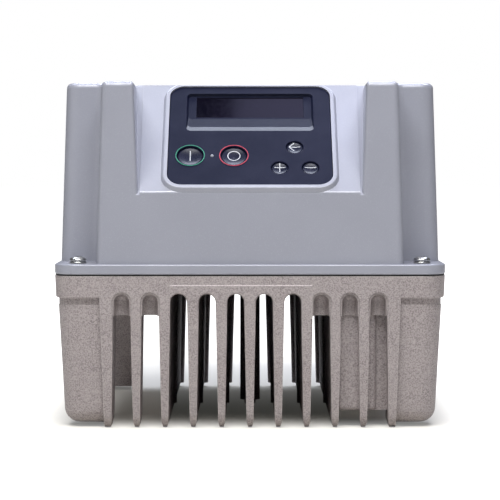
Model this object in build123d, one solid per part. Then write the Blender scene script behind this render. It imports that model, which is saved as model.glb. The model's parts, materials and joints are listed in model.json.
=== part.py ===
"""Motor-mounted variable frequency drive: finned cast base, cover with a sloped keypad, and its electronics.

Frame: millimetres, +Z up. The drive stands on the tips of its cooling fins at z = 0, its keypad faces -Y, and
the origin is the middle of the footprint. Each function makes one sub-part, and the table at the end writes them.
"""

from build123d import *
import os
from math import cos, radians, sin, tan

# ---------------------------------------------------------------- driving sizes: whole drive
width = 236.0  # rim and flange, left to right
depth = 212.0  # rim and flange, front to back
rim_top = 92.0  # gasket face of the cast base
gasket_thickness = 1.0
flange_thickness = 6.0
cover_top = 208.5
corner_radius = 15.0  # rim and flange, in plan
fit_gap = 0.15  # all round, between a part and the seat it drops into
screw_gap = 0.1  # radial, between a screw and its hole

# ---------------------------------------------------------------- cast base
rim_height = 13.5
rim_draft = 0.5  # the rim is this much smaller all round at its lower edge
rim_foot_radius = 1.2
rim_edge_radius = 0.4
leg_inset = 2.0  # legs stand back from the rim by this much at the sides
leg_front_inset = 3.0
leg_draft = 3.6  # and by this much more at their feet
leg_foot = 2.4  # height of the legs' feet above the fin tips
leg_foot_radius = 9.0
leg_reach_x = 35.0  # leg's size along X, from the side of the base
leg_reach_y = 28.0  # leg's size along Y, and the depth of the short front fins
leg_panel_top = 74.6  # a narrow neck joins the legs to the rim above this height
leg_neck_inset = 0.3
leg_panel_chamfer = 0.6
tub_floor = 68.0  # underside of the deep side pockets
tub_front = 8.0  # depth of the blind coves at the top of the outer slots
pocket_floor_thickness = 3.0
plate_floor = 87.0  # top of the thick plate that carries the power module
rim_wall = 7.0
fin_pitch = 17.1
slot_count = 10
open_slots = range(2, 7)  # slots that run the whole depth above the tub floor's level
slot_width = 10.1  # at its round top
slot_top = 81.3
slot_half_foot = 6.5  # half the slot's width just above the fin tips
fin_tip_height = 4.0
fin_tip_relief = 0.9
fin_lean = 3.2  # the fins' front and back edges lean in by this much
fin_corner_radius = 8.0
slot_chamfer = 0.8
cove_chamfer = 1.2
cove_taper = 12.0  # degrees
cove_back_radius = 3.0
outer_fin_lap = 1.2  # the outermost fins are thicker on their outer side by this much at their root
outer_fin_draft = 2.4  # and slope in by this much at their tips
mouth_overlap = 0.05
pad_height = 0.6  # raised field round the open slots
pad_top = 86.8
pad_lap_left = 3.3  # pad's edge beyond the middle of the first long fin
pad_lap_right = 5.4  # pad's edge short of the middle of its last slot
rib_radii = (3.6, 4.6)  # round ribs part-way along the long fins, at their feet and roots
rib_y = -10.0
rear_rib_radii = (4.4, 6.3)  # and at their rear ends
rib_foot = 3.0
post_radius = 6.5  # centre post
post_y = 9.0
mounting_hole_radius = 2.5
mounting_hole_depth = 16.0
mounting_inset_x = 20.0
mounting_inset_y = 20.0
cover_screw_inset_x = 14.0
cover_screw_inset_y = 14.0
cover_screw_radius = 2.5
cover_screw_depth = 18.0
cover_screw_head_radius = 5.0
cover_screw_head_height = 3.3
cover_screw_slot = 1.1
washer_radius = 5.2
washer_thickness = 1.0
gasket_inset = 0.3
screw_boss_radius = 9.0
duct_face = 9.0  # motor-cable duct: its front face, behind the front of the base
duct_depth = 38.0
duct_side = 76.5  # its outer side's X
duct_corner = 3.0
duct_foot = 10.0
duct_foot_radius = 2.5
duct_wall = 5.0
duct_web_setback = 4.0  # web from the duct to the leg, behind the duct's face
duct_web_thickness = 3.0
pocket_corner = 4.0
pocket_front_wall = 8.0  # in front of the deep pockets, beyond the wall of the tray
rear_pocket_depth = 13.0

# ---------------------------------------------------------------- cover
cover_wall = 3.0
spine_inset_x = 25.7  # centre block of the cover, in from the flange's side
spine_inset_y = 3.0
wing_inset_x = 1.4  # side blocks behind the screw notches
wing_inset_y = 31.0
spine_draft_x = 3.5
spine_draft_y = 2.0
wing_draft = 3.6
spine_corner_radius = 3.5
valley_radius = 6.0
wing_corner_radius = 9.0
cover_edge_radius = 3.2
plateau_angle = 45.0
plateau_start = 142.2  # height where the sloped face leaves the front wall
recess_half_foot = 67.2  # recess between the horns, at the bottom of the slope
recess_flare = 2.9  # degrees, each side
plateau_half_foot = 66.1
plateau_flare = 0.7
gutter_depth = 1.2
recess_floor = 4.0  # plateau face to the inside of the cover
plateau_edge_radius = 2.5
horn_edge_radius = 2.0
flange_edge_radius = 1.0
flange_foot_chamfer = 0.6
panel_width = 100.0
panel_height = 86.0
panel_corner_radius = 9.0
panel_start = 3.9  # up the slope, from the plateau's lower edge to the panel's
panel_rise = 1.8  # panel face above the plateau
frame_rise = 2.6  # frame round the panel, above the plateau
frame_width = 3.9  # beyond the panel, at the plateau
frame_slope = 1.4
frame_edge_radius = 1.1

# ---------------------------------------------------------------- keypad
faceplate_thickness = 2.5
seal_thickness = 0.8
seal_width = 3.2
lcd_recess_width = 78.8
lcd_recess_low = 46.8  # up the panel from its lower edge
lcd_recess_high = 80.1
lcd_recess_depth = 2.0
lcd_recess_bevel = 12.4
lcd_recess_side = 1.2
lcd_knee = 4.6  # the recess is steep to here, from its lower edge
lcd_knee_depth = 1.3
lcd_recess_floor = 1.8
window_width = 66.8
window_low = 60.5
window_high = 78.8
window_sink = 0.2
window_flange = 3.0  # beyond the opening, left and right
window_flange_thickness = 0.8
big_key_radius = 7.6
small_key_radius = 4.9
key_gap = 0.3
key_hole_chamfer = 0.35
key_sink = 0.9  # key face below the panel face
key_edge_radius = 0.4
key_dish_rim = 0.7
big_key_dish = 0.9
small_key_dish = 0.6
key_flange = 1.0
key_travel = 0.8
key_rest_gap = 0.1
key_height = 5.4
ring_inner_radius = 8.45
ring_width = 0.45
ring_thickness = 0.3
led_radius = 1.1
keys = {
    "start_button": (-36.4, 25.2, big_key_radius, big_key_dish),
    "stop_button": (-9.8, 25.2, big_key_radius, big_key_dish),
    "back_button": (27.3, 32.6, small_key_radius, small_key_dish),
    "plus_button": (18.0, 15.0, small_key_radius, small_key_dish),
    "minus_button": (36.6, 15.0, small_key_radius, small_key_dish),
}
led_place = (-23.1, 25.2)
keypad_board_depth = 12.0  # board's front, below the panel face
board_thickness = 1.6
keypad_board_size = (88.0, 74.0)
keypad_skirt_wall = 1.2
keypad_post_radius = 2.6
keypad_posts = [(-40.4, 9.5), (27.3, 10.0), (-40.6, 52.0), (40.6, 52.0)]
keypad_screw_radius = 1.2
keypad_screw_head = 2.2
lcd_module_size = (74.0, 20.5)
switch_size = 6.0
switch_height = 3.5
plunger_radius = 1.6

# ---------------------------------------------------------------- electronics
power_board_size = (164.0, 150.0)
power_board_centre_y = -8.0
power_board_height = 18.0  # above the plate
control_board_size = (150.0, 84.0)
control_board_centre_y = -26.0
control_board_rise = 34.0  # above the power board
standoff_radius = 3.2
power_standoffs = [(-50.0, -78.0), (32.0, -78.0), (-16.0, 60.0), (16.0, 60.0)]
control_standoff_inset = 6.0
board_screw_radius = 1.5
board_screw_head = 2.9
module_size = (76.0, 46.0, 15.4)
module_place = (-9.0, -14.0)
module_screw_radius = 2.0
thermal_pad_thickness = 0.5
capacitor_radius = 15.0
capacitor_height = 45.0
capacitor_places = [(-57.0, 33.0), (-19.0, 33.0), (19.0, 33.0), (57.0, 33.0)]
choke_outer_radius = 21.0
choke_inner_radius = 11.5
choke_height = 15.0
choke_wire = 1.6
choke_place = (-85.0, -5.0)
terminal_pitch = 10.0
terminal_depth = 13.0
terminal_height = 17.0
power_terminal_places = {"mains_terminals": -42.0, "motor_terminals": 42.0}
power_terminal_y = 58.0
control_terminal_pitch = 5.0
control_terminal_count = 14
relay_size = (28.0, 12.5, 15.5)
relay_places = [(52.0, -52.0), (52.0, -30.0)]
ribbon_width = 26.0
ribbon_thickness = 1.0
ribbon_header = 5.0
ribbon_up = 46.0
ribbon_board_y = -30.0
filter_cap_size = (26.0, 10.0, 19.0)
filter_cap_places = [(-66.0, -2.0), (-66.0, -17.0), (-66.0, -32.0)]
sensor_size = (14.0, 10.0, 14.0)
sensor_places = [(66.0, -2.0), (48.0, -2.0)]
processor_place = (20.0, -14.0)
terminal_screw_radius = 3.0
capacitor_clip_z = 128.0
choke_base_thickness = 2.0
choke_hub_radius = 8.0
choke_turns = 7
choke_turn_angle = 17.0
module_flange = 5.0
module_pins = 9
module_pin_pitch = 5.0
earth_washer_thickness = 0.8
earth_thread = 1.6
plug_slot_depth = 1.0
earth_screw_radius = 2.5
earth_screw_place = (89.0, 77.0)

# ---------------------------------------------------------------- cable entries
entry_places = [-48.0, -16.0, 16.0, 48.0]
entry_height = 81.0
entry_wall = 8.0
entry_thread_radius = 8.0
entry_recess_radius = 10.6
entry_recess_depth = 3.4
plug_head_radius = 10.2
plug_head_thickness = 2.4
plug_length = 11.0
plug_seal_thickness = 0.8
plug_slot_width = 2.0

# ---------------------------------------------------------------- worked out from the above
half_x = width / 2
half_y = depth / 2
rim_foot = rim_top - rim_height
flange_foot = rim_top + gasket_thickness
flange_top = flange_foot + flange_thickness
spine_half = half_x - spine_inset_x
leg_inner_x = half_x - leg_inset - leg_reach_x
base_half_y = half_y - pad_height
leg_inner_y = base_half_y - leg_reach_y
fin_xs = [(i - slot_count / 2) * fin_pitch for i in range(slot_count + 1)]
slot_xs = [(i - (slot_count - 1) / 2) * fin_pitch for i in range(slot_count)]
long_fins = fin_xs[2:-2]
fin_half_root = (fin_pitch - slot_width) / 2
fin_block_half = long_fins[-1] + fin_half_root
outer_fin_root = fin_xs[-1] + fin_half_root + outer_fin_lap
cover_screws_at = [
    (sx * (half_x - cover_screw_inset_x), sy * (half_y - cover_screw_inset_y))
    for sx in (-1, 1)
    for sy in (-1, 1)
]
pocket_floor = tub_floor + pocket_floor_thickness
pocket_x = half_x - rim_wall
pocket_y = base_half_y - entry_wall
pocket_size_y = 2 * pocket_y - pocket_front_wall
left_pocket_edge = slot_xs[1] + slot_width / 2 - pocket_floor_thickness
right_pocket_edge = slot_xs[7] - slot_width / 2 + pocket_floor_thickness
choke_floor = pocket_floor + choke_base_thickness + choke_wire
module_screws_at = [
    (module_place[0] - module_size[0] / 2 + 5, module_place[1]),
    (module_place[0] + module_size[0] / 2 - 5, module_place[1]),
]
control_standoffs = [
    (
        sx * (control_board_size[0] / 2 - control_standoff_inset),
        control_board_centre_y + sy * (control_board_size[1] / 2 - control_standoff_inset),
    )
    for sx in (-1, 1)
    for sy in (-1, 1)
]
power_board_z = plate_floor + power_board_height
power_board_top = power_board_z + board_thickness
control_board_z = power_board_top + control_board_rise
control_board_top = control_board_z + board_thickness
plateau_rise = (plateau_start - flange_top) / (cover_top - flange_top)
plateau_front_y = -half_y + spine_inset_y + plateau_rise * spine_draft_y
slope_x_dir = (1, 0, 0)
slope_normal = (0, -sin(radians(plateau_angle)), cos(radians(plateau_angle)))
plateau = Plane(origin=(0, plateau_front_y, plateau_start), x_dir=slope_x_dir, z_dir=slope_normal)


def on_panel(x, up, out=0.0):
    """Location on the keypad panel: x across, up from the panel's lower edge, and out from its face."""
    return plateau.location * Pos(x, panel_start + up, panel_rise + out)


panel_middle_up = panel_height / 2
lcd_recess_middle = (lcd_recess_low + lcd_recess_high) / 2
window_middle = (window_low + window_high) / 2


def slab(x_size, y_size, z_low, z_high, radius=0.0, at=(0.0, 0.0)):
    """Upright block between two heights, with rounded corners in plan."""
    outline = RectangleRounded(x_size, y_size, radius) if radius else Rectangle(x_size, y_size)
    return extrude(Pos(at[0], at[1], z_low) * outline, z_high - z_low)


def tapered_slab(low, high, z_low, z_high):
    """Block between two rounded rectangles, each (x size, y size, corner radius)."""
    outlines = [Pos(0, 0, z_low) * RectangleRounded(*low), Pos(0, 0, z_high) * RectangleRounded(*high)]
    return loft(outlines, ruled=True)


def rod(radius, z_low, z_high, at):
    return Pos(at[0], at[1], (z_low + z_high) / 2) * Cylinder(radius, z_high - z_low)


def tapered_rod(radii, z_low, z_high, at):
    return Pos(at[0], at[1], (z_low + z_high) / 2) * Cone(*radii, z_high - z_low)


def rear_rod(radius, x, y_low, y_high):
    """Cylinder along Y at a cable entry."""
    return Pos(x, (y_low + y_high) / 2, entry_height) * Rot(90, 0, 0) * Cylinder(radius, y_high - y_low)


def screw_holes(places, radius, z_low, z_high):
    return [rod(radius + screw_gap, z_low, z_high, at) for at in places]


def pan_screw(radius, head_radius, head_height, length, slot_width):
    """Pan-head screw, head up, with the underside of its head at the origin and a cross recess in its top."""
    profile = make_face(
        [
            *Polyline((0, head_height), (0, -length), (radius, -length), (radius, 0), (head_radius, 0)).edges(),
            *Line((head_radius, 0), (head_radius, head_height * 0.35)).edges(),
            *ThreePointArc(
                (head_radius, head_height * 0.35),
                (head_radius * 0.72, head_height * 0.84),
                (0, head_height),
            ).edges(),
        ]
    )
    screw = revolve(Plane.XZ * profile, Axis.Z)
    cross = Box(head_radius * 1.15, slot_width, head_height) + Box(slot_width, head_radius * 1.15, head_height)
    return screw - Pos(0, 0, head_height) * cross


def ring(outer, inner, thickness):
    """Flat ring standing on the XY plane."""
    return extrude(Circle(outer) - Circle(inner), thickness)


def grouped(places, shape):
    return [Pos(*at) * shape for at in places]


# ================================================================= cast base
def slot_outline(top, round_top, grow=0.0):
    """A cooling slot's section in X and Z, centred on X: wider at the fin tips, and round or flat at its top."""
    half = slot_width / 2 + grow
    foot_half = slot_half_foot + grow
    tip_half = foot_half + fin_tip_relief
    shoulder = top + grow - half if round_top else top
    # a flat-topped slot is as wide at its top as the round one is there
    full_shoulder = slot_top - slot_width / 2
    half_here = half + (foot_half - half) * (full_shoulder - shoulder) / (full_shoulder - fin_tip_height)
    left = [(-half_here, shoulder), (-foot_half, fin_tip_height), (-tip_half, 0), (-tip_half, -2)]
    right = [(-x, z) for x, z in reversed(left)]
    sides = Polyline(*left, *right)
    crown = (
        ThreePointArc((-half_here, shoulder), (0, shoulder + half_here), (half_here, shoulder))
        if round_top
        else Line((-half_here, shoulder), (half_here, shoulder))
    )
    return make_face([*sides.edges(), *crown.edges()])


def facing_front(x, y):
    """Upright plane that faces the front, with its origin at this x and y."""
    return Plane(origin=(x, y, 0), x_dir=(1, 0, 0), z_dir=(0, -1, 0))


def slot_cutter(x, y_low, y_high, top, round_top):
    return extrude(facing_front(x, y_high) * slot_outline(top, round_top), y_high - y_low)


def slot_mouth(x, front, bevel):
    """Bevel round the front edge of a slot."""
    wide = facing_front(x, front) * slot_outline(slot_top, True, bevel)
    narrow = facing_front(x, front + bevel) * slot_outline(slot_top, True)
    return loft([wide, narrow], ruled=True)


def fin_block(half_width, y_back=None):
    """Solid from which the fins are cut: front and back lean in, with rounded lower corners."""
    front = base_half_y
    back = base_half_y if y_back is None else y_back
    lean_back = fin_lean if y_back is None else 0.0
    side = make_face(
        Polyline(
            (-front, rim_top),
            (-front, rim_foot),
            (-front + fin_lean, 0),
            (back - lean_back, 0),
            (back, rim_foot),
            (back, rim_top),
            close=True,
        )
    )
    feet = [v for v in side.vertices() if v.Y < 1 and (v.X < 0 or y_back is None)]
    side = fillet(feet, fin_corner_radius)
    return extrude(Plane(origin=(-half_width, 0, 0), x_dir=(0, 1, 0), z_dir=(1, 0, 0)) * side, 2 * half_width)


def raised_pad():
    """Thin raised field on the front, round the open slots."""
    left = fin_xs[2] + pad_lap_left
    right = slot_xs[7] - pad_lap_right
    side = make_face(
        Polyline(
            (-base_half_y + 2, pad_top),
            (-base_half_y, pad_top),
            (-half_y, pad_top - pad_height),
            (-half_y, rim_foot),
            (-half_y + fin_lean, fin_corner_radius),
            (-base_half_y + fin_lean + 2, fin_corner_radius),
            close=True,
        )
    )
    return extrude(Plane(origin=(left, 0, 0), x_dir=(0, 1, 0), z_dir=(1, 0, 0)) * side, right - left)


def cove(x):
    """Blind hollow with a rounded back, at the top of an outer slot."""
    mouth = facing_front(x, -base_half_y - mouth_overlap) * slot_outline(slot_top, True)
    hollow = extrude(mouth, -tub_front - mouth_overlap, taper=cove_taper)
    hollow &= slab(fin_pitch, depth, tub_floor - 0.5, rim_top, at=(x, -base_half_y))
    back = hollow.faces().sort_by(Axis.Y)[-1]
    return fillet(back.edges().filter_by(lambda e: e.center().Z > tub_floor), cove_back_radius)


def duct_outline(shrink):
    x_low = long_fins[-1] + 1
    size_x = duct_side - x_low - 2 * shrink
    size_y = duct_depth - 2 * shrink
    centre = ((x_low + duct_side) / 2, -base_half_y + duct_face + duct_depth / 2)
    return Pos(*centre, 0) * RectangleRounded(size_x, size_y, duct_corner - shrink / 2)


def cable_duct():
    """Hollow cast pillar that takes the motor leads down to the motor's terminal box, and the web beside it."""
    pillar = extrude(Pos(0, 0, duct_foot) * duct_outline(0), pocket_floor - duct_foot)
    pillar = fillet(pillar.faces().sort_by(Axis.Z)[0].edges(), duct_foot_radius)
    web_left = duct_side - duct_corner - 1
    web_right = leg_inner_x + 3
    web_y = -base_half_y + duct_face + duct_web_setback + duct_web_thickness / 2
    web_middle = ((web_left + web_right) / 2, web_y)
    return pillar + slab(web_right - web_left, duct_web_thickness, duct_foot, pocket_floor, at=web_middle)


def cable_duct_hole():
    return extrude(duct_outline(duct_wall), rim_top)


def outer_fin_slope(side):
    """What the draft takes off the outer side of an outermost fin."""
    wedge = make_face(
        Polyline(
            (side * outer_fin_root, rim_foot),
            (side * (outer_fin_root - outer_fin_draft), -1),
            (side * (outer_fin_root + 1), -1),
            (side * (outer_fin_root + 1), rim_foot),
            close=True,
        )
    )
    return extrude(Plane.XZ * wedge, depth, both=True)


def legs_and_neck(skirt_size):
    """The four legs, under the narrow neck that joins them to the rim."""
    foot_size = tuple(s - 2 * leg_draft for s in skirt_size[:2]) + (skirt_size[2] - 1.5,)
    shoulder = leg_panel_top - leg_panel_chamfer
    skirt = tapered_slab(foot_size, skirt_size, leg_foot, shoulder)
    skirt = fillet(skirt.faces().sort_by(Axis.Z)[0].edges(), leg_foot_radius)
    bevelled = tuple(s - 2 * leg_panel_chamfer for s in skirt_size[:2]) + (skirt_size[2] - leg_panel_chamfer,)
    skirt += tapered_slab(skirt_size, bevelled, shoulder, leg_panel_top)
    neck = [s - 2 * leg_neck_inset for s in skirt_size[:2]]
    skirt += slab(*neck, leg_panel_top - 1, rim_foot + 1, skirt_size[2] - leg_neck_inset)
    return [
        skirt & slab(leg_reach_x * 2, leg_reach_y * 2, 0, rim_top, at=(sx * half_x, sy * base_half_y))
        for sx in (-1, 1)
        for sy in (-1, 1)
    ]


def heatsink_base():
    rim = tapered_slab(
        (width - 2 * rim_draft, 2 * (base_half_y - rim_draft), corner_radius - rim_draft),
        (width, 2 * base_half_y, corner_radius),
        rim_foot,
        rim_top,
    )
    rim = fillet(rim.faces().sort_by(Axis.Z)[0].edges(), rim_foot_radius)
    rim = fillet(rim.faces().sort_by(Axis.Z)[-1].edges(), rim_edge_radius)
    skirt_size = (width - 2 * leg_inset, 2 * (base_half_y - leg_front_inset), corner_radius - leg_inset)
    legs = legs_and_neck(skirt_size)
    tub = slab(
        skirt_size[0] - 2 * leg_neck_inset - 1,
        2 * base_half_y - tub_front - leg_front_inset - leg_neck_inset,
        tub_floor,
        rim_foot + 1,
        skirt_size[2] - leg_neck_inset,
        at=(0, (tub_front - leg_front_inset - leg_neck_inset) / 2),
    )
    body = rim + legs + tub
    body += fin_block(fin_block_half)
    body += fin_block(outer_fin_root, y_back=-leg_inner_y) - outer_fin_slope(-1) - outer_fin_slope(1)
    body += raised_pad()

    for i, x in enumerate(slot_xs):
        if i in open_slots:
            body -= slot_cutter(x, -base_half_y - 2, leg_inner_y + 5, slot_top, True)
            body -= slot_cutter(x, leg_inner_y - 1, base_half_y + 2, tub_floor, False)
        else:
            reach = base_half_y + 2 if abs(x) + slot_width < leg_inner_x else -leg_inner_y + 1
            body -= slot_cutter(x, -base_half_y - 2, reach, tub_floor, False)
            body -= cove(x)
        if i in open_slots:
            body -= slot_mouth(x, -half_y - mouth_overlap, slot_chamfer)
        else:
            body -= slot_mouth(x, -base_half_y - mouth_overlap, cove_chamfer)

    # ribs on the long fins, and the centre post
    for x in long_fins:
        body += tapered_rod(rear_rib_radii, rib_foot, tub_floor + 2, (x, base_half_y - fin_lean - rear_rib_radii[1]))
        body += tapered_rod(rib_radii, rib_foot, slot_top + 2, (x, rib_y))
    body += rod(post_radius, rib_foot, slot_top + 2, (0, post_y))

    body += cable_duct()

    # inside: shallow tray over the thick plate, deep pockets each side and along the back
    tray = slab(2 * pocket_x, 2 * pocket_y, plate_floor, rim_top + 1, 6)
    deep = slab(2 * pocket_x - 8, rear_pocket_depth, pocket_floor, rim_top, at=(0, pocket_y - rear_pocket_depth / 2))
    for edge, outside in ((left_pocket_edge, -pocket_x), (right_pocket_edge, pocket_x)):
        middle = ((edge + outside) / 2, pocket_front_wall / 2)
        deep += slab(abs(outside - edge), pocket_size_y, pocket_floor, rim_top, pocket_corner, at=middle)
    for at in cover_screws_at:
        boss = rod(screw_boss_radius, 0, rim_top + 2, at)
        tray -= boss
        deep -= boss
    body -= tray
    body -= deep
    body -= cable_duct_hole()
    for x, y in cover_screws_at:
        body -= rod(cover_screw_radius + screw_gap, rim_top - cover_screw_depth, rim_top + 1, (x, y))
    for sx in (-1, 1):
        for sy in (-1, 1):
            at = (sx * (half_x - mounting_inset_x), sy * (half_y - mounting_inset_y))
            body -= rod(mounting_hole_radius, leg_foot - 1, leg_foot + mounting_hole_depth, at)
    for x in entry_places:
        body -= rear_rod(entry_thread_radius + screw_gap, x, base_half_y - entry_wall - 1, base_half_y + 1)
        body -= rear_rod(entry_recess_radius, x, base_half_y - entry_recess_depth, base_half_y + 1)
    body -= rod(earth_screw_radius + screw_gap, pocket_floor - 2, pocket_floor + 2, earth_screw_place)
    for x, y in power_standoffs:
        body -= rod(board_screw_radius + screw_gap, plate_floor - 4, plate_floor + 1, (x, y))
    for sx in (-1, 1):
        at = (module_place[0] + sx * (module_size[0] / 2 - 5), module_place[1])
        body -= rod(module_screw_radius + screw_gap, plate_floor - 5, plate_floor + 1, at)
    return body


# ================================================================= cover
def cover_block(shrink, z_low, z_high, roof):
    """Drafted centre block and side block together; shrink is the wall, for the hollow inside."""
    rise = (roof - flange_top) / (cover_top - flange_top)
    spine_low = [width - 2 * (spine_inset_x + shrink), depth - 2 * (spine_inset_y + shrink)]
    spine_high = [spine_low[0] - 2 * spine_draft_x * rise, spine_low[1] - 2 * spine_draft_y * rise]
    wing_low = [width - 2 * (wing_inset_x + shrink), depth - 2 * (wing_inset_y + shrink)]
    wing_high = [size - 2 * wing_draft * rise for size in wing_low]
    spine_radius = spine_corner_radius - 0.5 * shrink
    wing_radius = wing_corner_radius - 0.5 * shrink
    spine = tapered_slab((*spine_low, spine_radius), (*spine_high, spine_radius), z_low, z_high)
    return spine + tapered_slab((*wing_low, wing_radius), (*wing_high, wing_radius), z_low, z_high)


def slope_wedge(half_foot, flare, floor):
    """Everything above the sloped face, between two walls that spread as they climb."""
    reach = 150
    spread = reach * tan(radians(flare))
    outline = make_face(
        Polyline(
            (-half_foot + spread / 5, -reach / 5),
            (half_foot - spread / 5, -reach / 5),
            (half_foot + spread, reach),
            (-half_foot - spread, reach),
            close=True,
        )
    )
    return extrude(plateau * Pos(0, 0, floor) * outline, reach)


def on_slope(shape):
    return plateau.location * shape


def frame_block():
    """Raised frame round the keypad panel."""
    foot = [panel_width + 2 * frame_width, panel_height + 2 * frame_width, panel_corner_radius + frame_width]
    top = [size - 2 * frame_slope for size in foot[:2]] + [foot[2] - frame_slope]
    sunk = -gutter_depth
    block = loft([Pos(0, 0, sunk) * RectangleRounded(*foot), Pos(0, 0, 0) * RectangleRounded(*foot)], ruled=True)
    block += loft([RectangleRounded(*foot), Pos(0, 0, frame_rise) * RectangleRounded(*top)], ruled=True)
    block = fillet(block.faces().sort_by(Axis.Z)[-1].edges(), frame_edge_radius)
    block = on_slope(Pos(0, panel_start + panel_height / 2, 0) * block)
    return block & slab(width, depth, flange_top, cover_top - 0.3)


def panel_block(shrink, low, high, radius=None):
    """Block on the panel's outline, between two heights above the panel's face."""
    corner = panel_corner_radius - shrink if radius is None else radius
    outline = RectangleRounded(panel_width - 2 * shrink, panel_height - 2 * shrink, corner)
    return on_panel(0, panel_middle_up, low) * extrude(outline, high - low)


def cover_shell():
    body = cover_block(0, flange_top, cover_top, cover_top)
    valleys = body.edges().filter_by(
        lambda e: abs(abs(e.center().X) - spine_half) < 3
        and abs(abs(e.center().Y) - (half_y - wing_inset_y)) < 4
        and e.length > 50
    )
    body = fillet(valleys, valley_radius)
    body = fillet(body.faces().sort_by(Axis.Z)[-1].edges(), cover_edge_radius)
    body -= slope_wedge(recess_half_foot, recess_flare, -gutter_depth)
    recess_brim = body.edges().filter_by(
        lambda e: abs(e.center().Z - cover_top) < 0.05 and abs(e.center().X) < spine_half and e.center().Y < 0
    )
    body = fillet(recess_brim, horn_edge_radius)
    field = slope_wedge(plateau_half_foot, plateau_flare, -gutter_depth)
    field -= slope_wedge(plateau_half_foot * 2, 0, 0)
    field &= cover_block(0, flange_top, cover_top, cover_top)
    body += field
    lip = body.edges().filter_by(
        lambda e: abs(e.center().X) < 1 and abs(e.center().Z - plateau_start) < 1.5 and e.length > 100
    )
    body = fillet(lip, plateau_edge_radius)
    flange = slab(width, depth, flange_foot, flange_top, corner_radius)
    flange = fillet(flange.faces().sort_by(Axis.Z)[-1].edges(), flange_edge_radius)
    flange = chamfer(flange.faces().sort_by(Axis.Z)[0].edges(), flange_foot_chamfer)
    body += flange
    body += frame_block()

    hollow = cover_block(cover_wall, flange_foot - 1, cover_top - cover_wall, cover_top - cover_wall)
    hollow -= slope_wedge(recess_half_foot + cover_wall, recess_flare, -recess_floor)
    body -= hollow
    seat = faceplate_thickness + seal_thickness
    body -= panel_block(-fit_gap, -seat, frame_rise)
    body -= panel_block(seal_width, -recess_floor - panel_rise - 1, 0)
    body -= screw_holes(cover_screws_at, cover_screw_radius, flange_foot - 1, flange_top + 1)
    return body


def gasket_window():
    """Inside of the rim, less the screw bosses."""
    tray = slab(2 * pocket_x, 2 * pocket_y, plate_floor, rim_top + 2 * gasket_thickness, 6)
    for at in cover_screws_at:
        tray -= rod(screw_boss_radius, 0, cover_top, at)
    return tray


def cover_gasket():
    outline = slab(
        width - 2 * gasket_inset,
        2 * (base_half_y - gasket_inset),
        rim_top,
        flange_foot,
        corner_radius - gasket_inset,
    )
    outline -= gasket_window()
    outline -= screw_holes(cover_screws_at, cover_screw_radius, rim_top - 1, flange_foot + 1)
    return outline


def cover_screws():
    screw = pan_screw(
        cover_screw_radius,
        cover_screw_head_radius,
        cover_screw_head_height,
        flange_top + washer_thickness - rim_top + cover_screw_depth - 3,
        cover_screw_slot,
    )
    return grouped([(x, y, flange_top + washer_thickness) for x, y in cover_screws_at], screw)


def cover_washers():
    washer = ring(washer_radius, cover_screw_radius + screw_gap, washer_thickness)
    return grouped([(x, y, flange_top) for x, y in cover_screws_at], washer)


# ================================================================= keypad
def keypad_faceplate():
    plate = panel_block(0, -faceplate_thickness, 0)
    plate = fillet(plate.faces().sort_by(Axis((0, 0, 0), slope_normal))[-1].edges(), 0.5)
    skirt = panel_block(seal_width + fit_gap, -keypad_board_depth, -faceplate_thickness)
    inner = panel_block(seal_width + fit_gap + keypad_skirt_wall, -keypad_board_depth - 1, -faceplate_thickness)
    backing = on_panel(0, lcd_recess_middle, -lcd_recess_depth - lcd_recess_floor) * extrude(
        Rectangle(lcd_recess_width + 4, lcd_recess_high - lcd_recess_low + 3),
        lcd_recess_depth + lcd_recess_floor - faceplate_thickness,
    )
    plate += skirt - inner
    plate += backing
    for x, up in keypad_posts:
        post = on_panel(x, up, -keypad_board_depth) * extrude(
            Circle(keypad_post_radius), keypad_board_depth - faceplate_thickness
        )
        plate += post
        plate -= on_panel(x, up, -keypad_board_depth - 1) * extrude(Circle(keypad_screw_radius + screw_gap), 7)
    plate -= lcd_recess()
    plate -= on_panel(0, window_middle, -lcd_recess_depth - lcd_recess_floor - 1) * extrude(
        Rectangle(window_width, window_high - window_low), lcd_recess_floor + 2
    )
    for x, up, radius, dish in keys.values():
        hole = radius + key_gap
        plate -= on_panel(x, up, -faceplate_thickness - 1) * extrude(Circle(hole), faceplate_thickness + 2)
        bevel = loft([Circle(hole), Pos(0, 0, 2 * key_hole_chamfer) * Circle(hole + 2 * key_hole_chamfer)], ruled=True)
        plate -= on_panel(x, up, -key_hole_chamfer) * bevel
    plate -= on_panel(*led_place, -faceplate_thickness - 1) * extrude(Circle(led_radius + screw_gap), 10)
    return plate


def lcd_recess():
    """Sunk field round the display: steep at its top and sides, and easing off to its floor at its lower edge."""
    floor_low = lcd_recess_low + lcd_recess_bevel
    floor_high = lcd_recess_high - lcd_recess_side / 2
    knee_low = lcd_recess_low + lcd_knee
    knee_inset = lcd_recess_side * lcd_knee_depth / lcd_recess_depth
    knee_high = lcd_recess_high - knee_inset / 2
    mouth = on_panel(0, lcd_recess_middle, 0.01) * RectangleRounded(
        lcd_recess_width, lcd_recess_high - lcd_recess_low, 3.0
    )
    floor = on_panel(0, (floor_low + floor_high) / 2, -lcd_recess_depth) * RectangleRounded(
        lcd_recess_width - 2 * lcd_recess_side, floor_high - floor_low, 2.0
    )
    knee = on_panel(0, (knee_low + knee_high) / 2, -lcd_knee_depth) * RectangleRounded(
        lcd_recess_width - 2 * knee_inset, knee_high - knee_low, 2.6
    )
    return loft([floor, knee, mouth], ruled=True)


def keypad_seal():
    seat = -faceplate_thickness - seal_thickness
    return panel_block(0.6, seat, seat + seal_thickness) - panel_block(seal_width, seat - 1, 0)


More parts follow.
